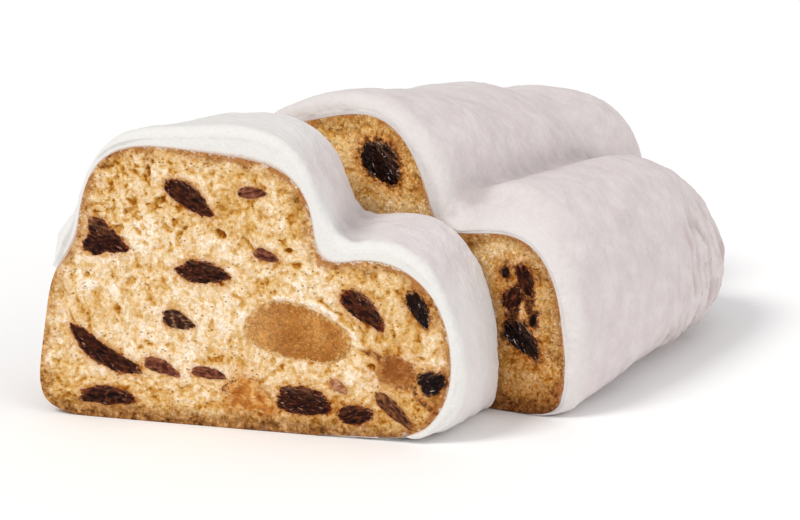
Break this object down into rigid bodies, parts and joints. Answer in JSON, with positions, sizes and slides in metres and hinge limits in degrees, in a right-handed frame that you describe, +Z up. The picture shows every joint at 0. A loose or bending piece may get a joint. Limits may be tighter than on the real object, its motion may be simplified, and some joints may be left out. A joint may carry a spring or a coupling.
{
  "type": "stollen",
  "caption": "Cut stollen: a thick slice stands against its loaf, both with raisins, candied peel and marzipan in yellow crumb under a thick powdered-sugar coat.",
  "frame": {"origin": "centre of the bounding box in plan, at the table surface under the bread", "axes": "+Y from the slice's front cut along the loaf, +X to the right along the cut face, +Z up"},
  "size_m": [0.1598, 0.1926, 0.0803],
  "materials": {
    "crumb": "open yellow bread crumb with a browned crust, fully matte",
    "sugar": "pressed powdered sugar, fully matte and finely grained",
    "raisin": "dark wrinkled fruit skin, moist sheen",
    "marzipan": "dense grainy almond paste, slightly moist",
    "peel": "candied peel, translucent amber with a moist sheen"
  },
  "bodies": {
    "root": {"slice_crumb": "crumb", "slice_sugar_coat": "sugar", "slice_marzipan": "marzipan", "slice_raisin_01": "raisin", "slice_raisin_02": "raisin", "slice_raisin_03": "raisin", "slice_raisin_04": "raisin", "slice_raisin_05": "raisin", "slice_raisin_06": "raisin", "slice_raisin_07": "raisin", "slice_raisin_08": "raisin", "slice_raisin_09": "raisin", "slice_raisin_10": "raisin", "slice_raisin_11": "raisin", "slice_raisin_12": "raisin", "slice_raisin_13": "raisin", "slice_raisin_14": "raisin", "slice_raisin_15": "raisin", "slice_raisin_16": "raisin", "slice_raisin_17": "raisin", "slice_peel_01": "peel", "slice_peel_02": "peel", "slice_back_raisin_01": "raisin", "slice_back_raisin_02": "raisin", "slice_back_raisin_03": "raisin", "slice_back_raisin_04": "raisin", "slice_back_raisin_05": "raisin", "loaf_crumb": "crumb", "loaf_sugar_coat": "sugar", "loaf_marzipan": "marzipan", "loaf_raisin_01": "raisin", "loaf_raisin_02": "raisin", "loaf_raisin_03": "raisin", "loaf_raisin_04": "raisin", "loaf_raisin_05": "raisin", "loaf_raisin_06": "raisin", "loaf_raisin_07": "raisin", "loaf_raisin_08": "raisin", "loaf_raisin_09": "raisin", "loaf_raisin_10": "raisin"}
  },
  "joints": []
}
